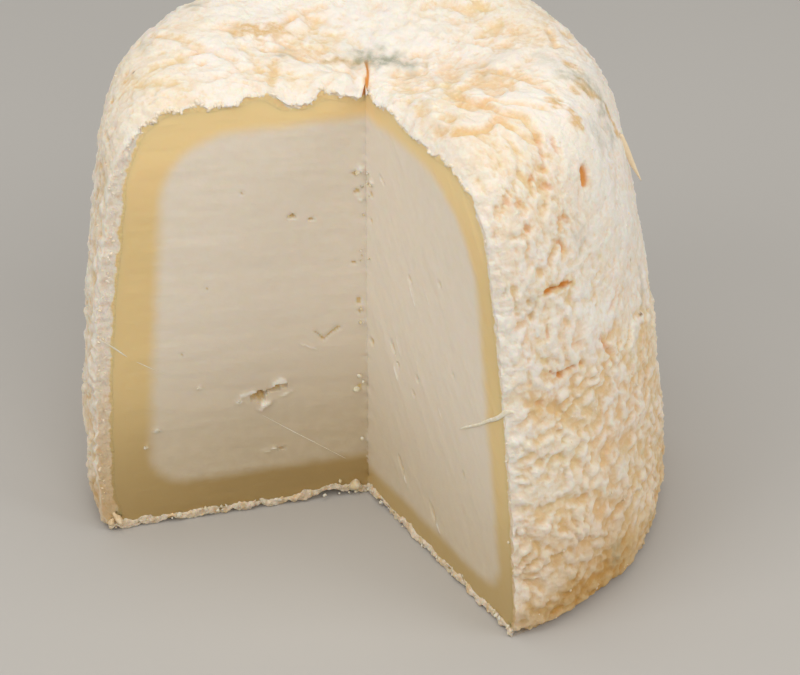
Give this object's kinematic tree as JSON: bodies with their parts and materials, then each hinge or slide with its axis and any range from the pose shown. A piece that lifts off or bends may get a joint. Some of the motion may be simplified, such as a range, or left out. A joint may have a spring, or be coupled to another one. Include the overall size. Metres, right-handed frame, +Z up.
{
  "type": "chabichou",
  "caption": "Small drum-shaped goat's cheese narrowing to a flat top, with a wrinkled white rind and a deep wedge cut out that shows its pale paste.",
  "frame": {"origin": "middle of the footprint's bounding box, on the table under the cheese", "axes": "+Z up; the missing wedge opens towards -Y; +X to the right when looking into the wedge"},
  "size_m": [0.0636, 0.0526, 0.0534],
  "materials": {
    "cheese": null
  },
  "bodies": {
    "root": {"cheese": "cheese"}
  },
  "joints": []
}
